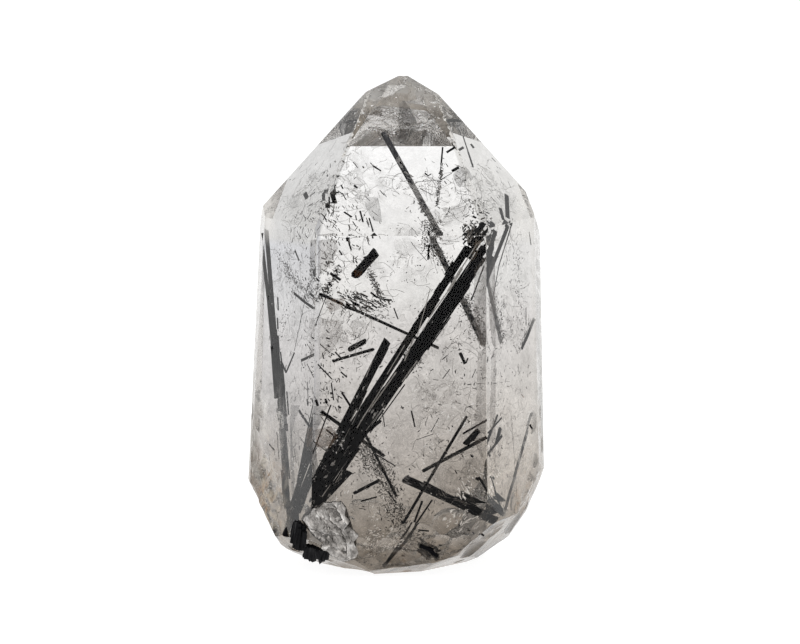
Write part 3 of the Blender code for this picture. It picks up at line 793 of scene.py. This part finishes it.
# The veils: healed cracks in the quartz, full of tiny fluid films. Where the light behind is bright
# they show as fine grey threads, and where the stone is smoky as white flecks. They grew with it.
veil_patches = [
    (360, 175, 42, 38, -14, 4, 50), (412, 185, 32, 12, -10, -2, 40), (352, 330, 32, 36, -15, -4, 46),
    (398, 262, 52, 32, -14, 4, 36), (440, 205, 30, 28, -12, 0, 36), (290, 285, 26, 60, -8, 6, 60),
    (285, 430, 24, 60, -8, 4, 60), (512, 290, 22, 60, -8, 6, 50), (510, 430, 24, 60, -8, 6, 60),
    (420, 470, 66, 66, -16, 0, 70), (300, 190, 32, 28, -8, 4, 60), (500, 185, 30, 30, -8, 4, 70),
    (440, 360, 44, 40, -14, 0, 24), (400, 114, 44, 30, -6, 0, 60)]
FLECK_SPARKLE = 0.65
fleck_patches = [
    (334, 440, 13, 14, -16, -12, 40, 20, 40, (0.12, 0.7)),
    (349, 278, 5, 5, -16, -12, 16, 0, 60, (0.15, 0.6)), (464, 488, 9, 13, -14, -8, 24, -56, 10, (0.2, 1.4)),
    (474, 478, 10, 12, -14, -8, 16, -50, 20, (0.2, 1.0)),
    (385, 540, 24, 13, -15, -6, 90, 22, 30, (0.15, 1.1)),
    (374, 515, 6, 6, -14, -8, 40, 40, 50, (0.12, 0.5)), (429, 447, 6, 6, -12, -8, 24, 30, 50, (0.12, 0.5)),
    (480, 407, 5, 5, -12, -8, 20, 30, 50, (0.12, 0.4)),
    (462, 520, 20, 14, -15, -6, 50, 38, 20, (0.15, 1.1)),
    (453, 378, 16, 10, -12, -4, 60, 0, 70, (0.10, 0.3)),
    (400, 110, 48, 32, -6, 2, 180, 30, 60, (0.10, 0.5)), (345, 95, 8, 50, -4, 0, 20, 0, 70, (0.1, 0.3)),
    (270, 450, 18, 50, -4, 6, 70, 70, 30, (0.15, 0.9)), (530, 455, 12, 50, -4, 6, 60, 75, 30, (0.15, 0.8)),
    (420, 480, 66, 66, -16, 4, 160, -40, 60, (0.10, 0.45)),
    (352, 330, 32, 36, -15, -4, 90, 20, 60, (0.10, 0.5)),
    (300, 480, 12, 26, -8, -4, 60, 70, 20, (0.15, 1.0)),
    (440, 410, 40, 30, -14, -6, 60, 40, 30, (0.15, 0.9))]
threads = ([], [], [])
for *where, count in veil_patches:
    sheet = chance.uniform(0, 10)
    for number in range(count):
        spot = random_spot(*where)
        if spot is None:
            continue
        # Threads of one veil run along one wavy sheet, so neighbours lean alike
        swing = noise.noise(spot / 5.0 + Vector((sheet, 0, 0))) * 260
        sow(spot, slanted(0.8 + 3.2 * chance.random() ** 2, swing + chance.gauss(0, 14)), 0.1, threads)
healed = mottled("healed_crack", 2.5, 3, "A29E9A", "E4E2E0", Roughness=0.5, IOR=1.06)
grow("veil_threads", "thread", *threads, healed, "quartz", Thickness=0.035 * MM, Unevenness=0.5 * MM,
     Waves=1 / (2.5 * MM))

# The thinnest veils are wavy sheets: each fades at its rim and shows as soft curtains with fine edges.
# For each: middle, half width and half height in the photograph, depth, slant in degrees and strength
SHEET_GRID = 26
SHEET_WAVE = 1.6
SHEET_TIP = 1.5  # how far a sheet leans over from its middle to its rim, in mm
SHEET_THICK = 0.04
# One kind of veil in two copies: grey as painted shade where the stone behind is bright, white as painted
# light where it is dark
veil_sheets = [
    ("shaded_grey_veils", "A39E98", [
        (362, 178, 40, 30, -8, -40, 0.8), (412, 183, 34, 12, -7, 10, 0.9), (356, 335, 30, 34, -12, -30, 0.8),
        (396, 262, 50, 26, -10, 15, 0.7), (446, 205, 26, 26, -8, 60, 0.7), (290, 290, 22, 60, -4, 80, 0.55),
        (510, 290, 20, 60, -4, 80, 0.8), (300, 190, 30, 24, -4, 35, 1.0), (500, 186, 28, 26, -4, -40, 0.9),
        (344, 258, 24, 20, -13, 0, 0.8), (432, 330, 44, 40, -11, 30, 0.6)]),
    ("lit_white_veils", "EFECE8", [
        (440, 400, 42, 46, -9, 40, 0.8), (400, 445, 60, 30, -10, -20, 0.7), (455, 480, 34, 34, -9, 50, 0.9),
        (385, 535, 30, 18, -8, 10, 1.0), (330, 438, 16, 18, -12, 20, 1.0), (285, 440, 20, 60, -2, 80, 0.45),
        (515, 440, 18, 60, -2, 80, 0.9), (400, 112, 44, 30, -2, 30, 0.5)])]
for name, code, sheets in veil_sheets:
    bm = bmesh.new()
    fading = bm.verts.layers.float.new("fade")
    for across, down, half_wide, half_high, deep, slant, strength in sheets:
        lean = math.radians(slant)
        grid, fades = [], []
        for row in range(SHEET_GRID):
            for column in range(SHEET_GRID):
                u, v = 2 * column / (SHEET_GRID - 1) - 1, 2 * row / (SHEET_GRID - 1) - 1
                wave = SHEET_WAVE * noise.noise(Vector((u * 1.5, v * 1.5, across)))
                tip = (u * math.cos(lean) + v * math.sin(lean)) * SHEET_TIP
                spot = seen(across + half_wide * u, down + half_high * v, deep + wave + tip)
                grid.append(spot if spot and sealed_in(spot) else None)
                fades.append(strength * max(0.0, 1 - (u * u + v * v) ** 1.5))
        front = [bm.verts.new(spot) if spot else None for spot in grid]
        rear = [bm.verts.new(spot + Vector((0, SHEET_THICK, 0))) if spot else None for spot in grid]
        for vert, fade in zip(front + rear, fades * 2):
            if vert:
                vert[fading] = fade
        rims = set()
        for row in range(SHEET_GRID - 1):
            for column in range(SHEET_GRID - 1):
                at = row * SHEET_GRID + column
                ring = (at, at + 1, at + SHEET_GRID + 1, at + SHEET_GRID)
                if all(front[corner] for corner in ring):
                    bm.faces.new([front[corner] for corner in ring])
                    bm.faces.new([rear[corner] for corner in ring[::-1]])
                    rims.update(zip(ring, ring[1:] + ring[:1]))
        for one, two in sorted(rims):
            if (two, one) not in rims:
                bm.faces.new((front[two], front[one], rear[one], rear[two]))
    bmesh.ops.delete(bm, geom=[vert for vert in bm.verts if not vert.link_faces], context="VERTS")
    bmesh.ops.recalc_face_normals(bm, faces=bm.faces)
    material, tree, output = new_material(name)
    place = place_in_mm(tree)
    curtain = add(tree, "TexNoise", {"Vector": place, "Scale": 1 / 3.2, "Detail": 7, "Roughness": 0.6,
                                     "Distortion": 1.2})
    off = add(tree, "Math", (curtain, 0.5), operation="SUBTRACT")
    off = add(tree, "Math", (off,), operation="ABSOLUTE")
    line = add(tree, "MapRange", (off, 0.0, 0.022, 0.55, 0.0))
    soft = add(tree, "MapRange", (curtain, 0.48, 0.62, 0.0, 0.32))
    cover = add(tree, "Math", (line, soft), operation="ADD")
    cover = add(tree, "Math", (cover, patches(tree, place, 5.5, 0.42, 0.60, detail=3)), operation="MULTIPLY")
    edge = add(tree, "Attribute", out="Fac", attribute_name="fade")
    cover = add(tree, "Math", (cover, edge), operation="MULTIPLY")
    shade = add(tree, "BsdfPrincipled", {"Base Color": linear(code), "Roughness": 0.6, "IOR": ROD_IOR,
                                         "Alpha": cover})
    tree.links.new(shade, output.inputs["Surface"])
    new_piece(name, finished_mesh(name, bm), material)

flecks = ([], [], [])
for *where, count, slant, spread, lengths in fleck_patches:
    for number in range(count):
        spot = random_spot(*where)
        length = lengths[0] + (lengths[1] - lengths[0]) * chance.random() ** 2
        line = slanted(length, chance.gauss(slant, spread))
        sow(spot, line, min(line.length * chance.uniform(0.25, 0.7), 0.22), flecks)
# Each film mirrors the bright studio; a faint glow stands for that, so it sparkles in the smoky part
film = mottled("white_fluid_film", 1.0, 2, "D8D4CE", "FFFFFF", Roughness=0.25, IOR=1.5,
               Emission_Color=(1, 1, 1, 1), Emission_Strength=FLECK_SPARKLE)
grow("white_flecks", "flake", *flecks, film, "quartz", Flatness=0.35, Unevenness=0.1 * MM,
     Waves=1 / (0.4 * MM))


# Pale seams: clear quartz that filled the gaps along and between the big rods; between the big rods they are
# also a painted highlight on the rods. They part the black rods into narrow bands, as both ends show in the
# photograph; depth, width and thickness in mm.
seams_and_highlights = [
    (477, 244, 462, 268, -15.0, 0.62), (462, 268, 448, 291, -15.0, 0.50), (448, 291, 429, 318, -15.2, 0.22),
    (430, 289, 417, 337, -15.4, 0.16), (414, 338, 405, 361, -15.4, 0.20), (417, 361, 402, 382, -15.4, 0.26),
    (405, 345, 387, 374, -15.4, 0.24), (438, 303, 423, 330, -15.4, 0.14), (459, 272, 449, 288, -15.4, 0.12),
    (396, 372, 371, 408, -15.3, 0.18), (380, 392, 357, 428, -15.3, 0.20), (385, 405, 366, 431, -15.4, 0.14),
    (362, 402, 352, 425, -15.4, 0.18), (357, 408, 350, 421, -15.4, 0.12), (350, 428, 338, 450, -15.4, 0.16),
    (400, 182, 408, 181, -11.0, 0.30), (412, 190, 416, 187, -10.5, 0.24), (471, 262, 462, 277, -15.6, 0.10),
    (399, 79, 399, 91, -3.0, 0.18), (399, 91, 398, 103, -3.0, 0.22), (397, 103, 388, 110, -3.0, 0.12),
    (388, 110, 375, 122, -3.0, 0.10), (411, 127, 422, 122, -3.0, 0.22), (422, 122, 434, 128, -3.0, 0.16),
    (434, 128, 439, 134, -3.0, 0.14), (411, 127, 406, 142, -3.0, 0.12), (409, 105, 413, 113, -3.0, 0.14),
    (413, 113, 424, 124, -3.0, 0.14), (371, 131, 368, 142, -3.0, 0.10), (444, 130, 446, 142, -3.0, 0.10),
    (405, 172, 413, 177, -7.6, 0.45), (413, 185, 418, 182, -9.0, 0.28),
    (372, 362, 366, 377, -15.4, 0.14), (343, 470, 335, 483, -15.4, 0.20), (330, 485, 322, 497, -15.4, 0.24)]
milky_seam_and_highlight = mottled("milky_quartz_and_highlight", 0.7, 4, "8C8680", "F4F2EE", Roughness=0.5, IOR=1.2)
grow("pale_seams_and_highlights", "prism", *between(seams_and_highlights), milky_seam_and_highlight, "quartz", Flatness=0.3, Unevenness=0.12 * MM,
     Waves=1 / (1.5 * MM))


# Slivers: thin splinters of tourmaline that lie along the big rods, so their outlines are stepped and
# forked. For each rod: its line, half width and depth; how many; thickness from and to
rod_lines = [
    (468, 246, 411, 335, 3.4, -14.0, 26, 0.18, 0.50), (482, 258, 330, 480, 5.0, -14.6, 60, 0.18, 0.60),
    (388, 339, 326, 462, 3.6, -14.2, 26, 0.18, 0.50), (349, 472, 320, 503, 3.6, -14.6, 10, 0.2, 0.5),
    (374, 253, 358, 274, 4.2, -13.0, 16, 0.18, 0.50), (404, 478, 496, 522, 3.8, -11.0, 22, 0.15, 0.40),
    (267, 236, 287, 500, 4.4, -6.8, 84, 0.3, 0.8), (384, 131, 409, 181, 2.4, -7.0, 8, 0.12, 0.3),
    (355, 347, 366, 342, 3.0, -13.0, 8, 0.15, 0.35)]
slivers = ([], [], [])
for across, down, end_across, end_down, half_wide, deep, count, thin, thick in rod_lines:
    run = Vector((end_across - across, end_down - down, 0))
    beside = run.normalized().cross(Vector((0, 0, 1)))
    for number in range(count):
        at = chance.uniform(-0.02, 0.95)
        reach = at + chance.uniform(0.04, 0.3)
        shift = beside * chance.gauss(0, half_wide * 0.62)
        from_spot = Vector((across, down, 0)) + run * at + shift
        to_spot = Vector((across, down, 0)) + run * min(reach, 1.03) + shift * chance.uniform(0.8, 1.2)
        near = deep + chance.uniform(-0.3, 0.6)
        start, end = seen(from_spot.x, from_spot.y, near), seen(to_spot.x, to_spot.y, near)
        if start and end and sealed_in(start) and sealed_in(end) and (start - end).length > 0.3:
            keep(slivers, start, end, chance.uniform(thin, thick))
grow("rod_slivers", "prism", *slivers, spray_schorl, "tourmaline", Flatness=0.6, Unevenness=0.1 * MM,
     Waves=1 / (2.0 * MM))


# Iron stains: thin brown films that followed cracks in under the skin of the lower edges. Both ends as
# they show in the photograph, then the thickness in mm.
RUST_DEPTH = -20.0  # in front of the stone, so each stain lies right under its skin
rust_lines = [
    (262, 473, 264, 482, 0.50), (264, 481, 262, 490, 0.42), (261, 489, 264, 500, 0.30),
    (263, 500, 268, 513, 0.34), (268, 512, 272, 526, 0.26), (266, 478, 270, 470, 0.20),
    (264, 493, 269, 497, 0.22), (283, 512, 290, 522, 0.20), (279, 500, 281, 512, 0.22),
    (525, 512, 530, 496, 0.20), (521, 394, 524, 398, 0.50), (517, 500, 520, 506, 0.45),
    (283, 520, 291, 524, 0.18), (274, 530, 280, 540, 0.22)]
rusty = mottled("iron_stain", 0.6, 4, "7A5A38", "B89A72", thin=(0.35, 0.6, 0.15, 0.8), Roughness=0.8,
                IOR=ROD_IOR)
stains = between([(*ends, RUST_DEPTH, wide) for *ends, wide in rust_lines])
grow("iron_stains", "flake", *stains, rusty, "quartz", Flatness=0.3, Unevenness=0.15 * MM, Waves=1 / MM)


# The smoky panes: thin growth plates inside the quartz that dim the light behind them. Corners as they
# show in the photograph, then the depth, the colour and how much they cover.
PANE_THICK = 0.12
panes = [
    ([(453, 175), (456, 169), (463, 167), (469, 170), (469, 178), (463, 183), (460, 188), (457, 185),
      (454, 180)], -9.0, "A9A6A3", 0.55),
    ([(366, 196), (378, 198), (380, 206), (382, 222), (374, 221), (369, 214), (365, 206)],
     -11.0, "B9B7B4", 0.5),
    ([(334, 180), (337, 196), (329, 193), (328, 189)], -10.0, "A8A5A2", 0.5),
    ([(318, 241), (335, 239), (338, 249), (331, 263), (323, 273), (318, 277)], -14.0, "A9A39D", 0.55),
    ([(318, 318), (338, 320), (344, 331), (332, 352), (319, 360)], -14.0, "A9A099", 0.34),
    ([(474, 262), (486, 256), (486, 350), (480, 345), (474, 318)], -13.0, "A7A09A", 0.6),
    ([(478, 352), (486, 350), (486, 470), (474, 440), (476, 400)], -13.0, "A39B93", 0.4),
    ([(291, 404), (300, 404), (313, 440), (313, 500), (297, 512), (291, 470)], -6.0, "6F737C", 0.55),
    ([(325, 299), (345, 298), (342, 308), (330, 313)], -14.2, "A88F7C", 0.6),
    ([(315, 430), (331, 426), (338, 437), (330, 448), (316, 447)], -14.2, "8F7358", 0.55),
    ([(354, 270), (362, 271), (361, 276), (355, 277)], -14.0, "7A5230", 0.8),
    ([(476, 240), (482, 240), (476, 258), (470, 262)], -15.8, "8E8070", 0.6),
    ([(399, 104), (404, 100), (411, 110), (417, 121), (423, 127), (412, 133), (406, 145), (398, 141)],
     -3.0, "5A5653", 0.55),
    ([(424, 129), (435, 134), (440, 144), (418, 144)], -3.0, "5A5653", 0.45),
    ([(352, 131), (368, 129), (374, 139), (362, 146), (343, 150)], -3.0, "E8E5E1", 0.5)]
for number, (corners, deep, code, cover) in enumerate(panes):
    bm = bmesh.new()
    bm.faces.new([bm.verts.new(seen(across, down, deep)) for across, down in corners])
    bmesh.ops.solidify(bm, geom=bm.faces[:], thickness=PANE_THICK)
    bmesh.ops.recalc_face_normals(bm, faces=bm.faces)
    material, tree, output = new_material(f"smoky_growth_{number}")
    dim = patches(tree, place_in_mm(tree), 1.5, 0.3, 0.65, 0.45 * cover, 0.8 * cover, roughness=0.65)
    shade = add(tree, "BsdfPrincipled", {"Base Color": linear(code), "Roughness": 0.6, "IOR": ROD_IOR,
                                         "Alpha": dim})
    tree.links.new(shade, output.inputs["Surface"])
    new_piece(f"smoky_pane_{number}", finished_mesh(f"smoky_pane_{number}", bm), material)


# The crust on the lower left of the front face: a lump of thin pale plates of another mineral that grew on
# the crystal, shingled downwards with jagged edges. It stands for the crust of the solid model.
CRUST_MIDDLE = (334, 530)
CRUST_OUTLINE = [
    (311, 512), (322, 504), (331, 502), (341, 502), (346, 508), (345, 515), (350, 521), (347, 526),
    (353, 530), (358, 535), (354, 543), (358, 553), (353, 559), (343, 560), (333, 555), (322, 547),
    (324, 541), (313, 533), (308, 526), (304, 520)]
CRUST_SLOPE = math.radians(52)
CRUST_SPOKES = 260
CRUST_RINGS = 74
CRUST_HEIGHT = 1.75
CRUST_WALL = 0.35
# Plates of the crust, coarse to fine: how wide and high each is in mm, how far they step and tilt, and how
# strongly their edges show in the painted highlights and shade
CRUST_PLATES = [((2.8, 1.5), 0.85, 0.7, 1.0), ((1.3, 0.6), 0.26, 0.6, 0.65), ((0.45, 0.22), 0.06, 0.5, 0.25)]
CRUST_FOOT = 1.6  # how deep the lump reaches under the face
CRUST_SEED = 1796066168  # noise vectors follow the clock until they get a seed
PIXEL = 0.162  # size in mm, on the front face, of one pixel of the photograph


def reach_of(outline, middle, turn):
    """How far an outline of corners lies from its middle in that direction."""
    way = Vector((math.cos(turn), math.sin(turn)))
    best = 0.0
    for (x0, y0), (x1, y1) in zip(outline, outline[1:] + outline[:1]):
        a, b = Vector((x0, y0)) - Vector(middle), Vector((x1, y1)) - Vector(middle)
        side = b - a
        turned = way.x * side.y - way.y * side.x
        if abs(turned) > 1e-9:
            far = (a.x * side.y - a.y * side.x) / turned
            at = (a.x * way.y - a.y * way.x) / turned
            if far > 0 and -1e-6 <= at <= 1 + 1e-6:
                best = max(best, far)
    return best


def plate_height(spot):
    """Height of the broken plates over the lump, and how much a spot is a high edge (+) or a crevice (-)."""
    height, rim = 0.0, 0.0
    spot = Matrix.Rotation(-CRUST_SLOPE, 3, "Z") @ spot
    torn = noise.noise_vector(spot * 2.2) * 0.22 + noise.noise_vector(spot * 6.0) * 0.06
    for number, ((wide, tall), step, tilt, shown) in enumerate(CRUST_PLATES):
        at = Vector(((spot.x + torn.x) / wide, (spot.y + torn.y) / tall, number * 7.3))
        away, middles = noise.voronoi(at)
        steps = []
        for middle in middles[:2]:
            lot = noise.noise_vector(middle * 5.7)
            lean = (at.x - middle.x) * lot.y * 1.2 + (at.y - middle.y) * (0.7 + lot.z)
            steps.append(step * (1.6 * lot.x + tilt * lean))
        height += steps[0]
        near = math.exp(-(math.sqrt(away[1]) - math.sqrt(away[0])) / 0.10)
        rim += near * max(-1.0, min(1.0, (steps[0] - steps[1]) / (0.5 * step))) * shown
    return height, rim


noise.seed_set(CRUST_SEED)
front_side = box_side("flake_crust", 0, 1) + 0.02
bm = bmesh.new()
rim_layer = bm.verts.layers.float.new("rim")
rings = []
for ring in range(CRUST_RINGS + 1):
    spots = []
    for spoke in range(CRUST_SPOKES):
        turn = 2 * math.pi * spoke / CRUST_SPOKES
        out = (ring + 0.5) / (CRUST_RINGS + 0.5)
        ragged = noise.noise(Vector((math.cos(turn) * 5, math.sin(turn) * 5, 1))) * 0.06 \
            + noise.noise(Vector((math.cos(turn) * 16, math.sin(turn) * 16, 2))) * 0.05
        far = reach_of(CRUST_OUTLINE, CRUST_MIDDLE, turn) * (1 + ragged) * out
        across, down = CRUST_MIDDLE[0] + far * math.cos(turn), CRUST_MIDDLE[1] + far * math.sin(turn)
        place, _, normal = on_surface(across, down)
        step, rim = plate_height(Vector((across * PIXEL, down * PIXEL, 0)))
        dome = CRUST_WALL + (CRUST_HEIGHT - CRUST_WALL) * (1 - out ** 3.5) ** 0.7
        lump = noise.noise(Vector((across * PIXEL, down * PIXEL, 9)) / 2.6) * 0.9
        spot = place + normal * max(0.12, dome + (step + lump) * min(1.0, 3.0 * (1.02 - out) + 0.35) - 0.45)
        spot.y = max(spot.y, front_side)
        spots.append(bm.verts.new(spot))
        spots[-1][rim_layer] = rim
    rings.append(spots)
inward = on_surface(*CRUST_MIDDLE)[2] * CRUST_FOOT
foot = [bm.verts.new(vert.co - inward) for vert in rings[-1]]
# The foot, under the face, gets painted shade
for vert in foot:
    vert[rim_layer] = -0.5
bm.faces.new(rings[0])
for inner, outer in zip(rings, rings[1:] + [foot]):
    for spoke in range(CRUST_SPOKES):
        after = (spoke + 1) % CRUST_SPOKES
        bm.faces.new((inner[after], inner[spoke], outer[spoke], outer[after]))
bm.faces.new(foot[::-1])
bmesh.ops.triangulate(bm, faces=[face for face in bm.faces if len(face.verts) > 4])
bmesh.ops.recalc_face_normals(bm, faces=bm.faces)
# Felted feldspar-like crust: matt and pale grey, with painted shade in its hollows and at its foot, and
# painted highlights on its high plate edges
flaky, tree, output = new_material("pale_crust")
place = place_in_mm(tree)
patch = add(tree, "TexNoise", {"Vector": place, "Scale": 1 / 1.6, "Detail": 6, "Roughness": 0.7})
tones = colour_ramp(tree, patch, [(0.34, "524F4C"), (0.44, "7F7B77"), (0.54, "A5A19D"), (0.66, "D6D4D1")])
rim = add(tree, "Attribute", out="Fac", attribute_name="rim")
# High plate edges get a painted highlight, crevices painted shade
painted_light_and_shade = add(tree, "MapRange", (rim, -1.1, 1.1, 0.18, 1.95))
tone = add(tree, "VectorMath", {0: tones, "Scale": painted_light_and_shade}, operation="SCALE")
fine = add(tree, "TexNoise", {"Vector": place, "Scale": 1 / 0.25, "Detail": 4, "Roughness": 0.7})
bumps = add(tree, "Bump", {"Height": fine, "Strength": 0.5, "Distance": 0.1 * MM})
gloss = add(tree, "MapRange", (fine, 0.35, 0.6, 0.8, 0.35))
shade = add(tree, "BsdfPrincipled", {"Base Color": tone, "Roughness": gloss, "Normal": bumps})
tree.links.new(shade, output.inputs["Surface"])
crust = new_piece("pale_crust", finished_mesh("pale_crust", bm), flaky)
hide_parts("flake_crust")


# The foot of the spray, where its rods stand out of the broken base: bundles of grooved black prisms,
# snapped off unevenly. Both ends as photographed, with the depth of each, and the thickness in mm.
STUB_BUNDLE = 5
stub_prisms = [
    (298, 522, -16.2, 292, 543, -15.0, 1.3), (301, 523, -16.8, 297, 548, -15.2, 1.5),
    (304, 525, -17.0, 302, 549, -15.0, 1.3), (295, 526, -15.6, 291, 537, -14.8, 0.8),
    (300, 528, -17.1, 298, 544, -16.0, 0.7), (305, 531, -17.2, 304, 545, -15.8, 0.8),
    (302, 536, -16.6, 302, 547, -15.8, 0.5), (296, 534, -16.0, 294, 541, -15.6, 0.5),
    (310, 545, -15.0, 307, 557, -13.2, 1.4), (315, 546, -15.8, 313, 560, -13.4, 1.7),
    (321, 548, -16.2, 320, 561, -13.8, 1.5), (327, 551, -16.4, 327, 558, -15.0, 0.9),
    (312, 551, -15.4, 310, 560, -14.0, 0.6), (318, 550, -16.4, 318, 557, -15.2, 0.6)]
stubs = ([], [], [])
for *first, near, end_across, end_down, end_near, wide in stub_prisms:
    places = []
    for spot, deep in ((first, near), ((end_across, end_down), end_near)):
        way = on_surface(*spot)[1]
        places.append(eye + way * ((deep - eye.y) / way.y))
        places[-1].z = max(places[-1].z, wide)
    top, foot = places
    keep(stubs, top, foot, wide * 0.8)
    # Each prism is a bundle of thinner ones that break off at different lengths
    for number in range(STUB_BUNDLE):
        shift = Vector((chance.uniform(-0.42, 0.42), chance.uniform(-0.3, 0.15), 0)) * wide
        start = top + shift + (foot - top) * chance.uniform(-0.05, 0.15)
        end = foot + shift + (foot - top) * chance.uniform(-0.2, 0.06)
        thin = wide * chance.uniform(0.3, 0.5)
        end.z = max(end.z, thin)
        keep(stubs, start, end, thin)
stub_schorl = schorl("snapped_tourmaline", (0.1, 0.2, -1), "Z", (20.0, 0.74), (0.0, 0.66), black="010101",
                     silver="3A3530", gloss=1.2, rough=0.6)
grow("root_prisms", "prism", *stubs, stub_schorl, "tourmaline", Flatness=0.8, Unevenness=0.3 * MM,
     Waves=1 / (0.9 * MM))
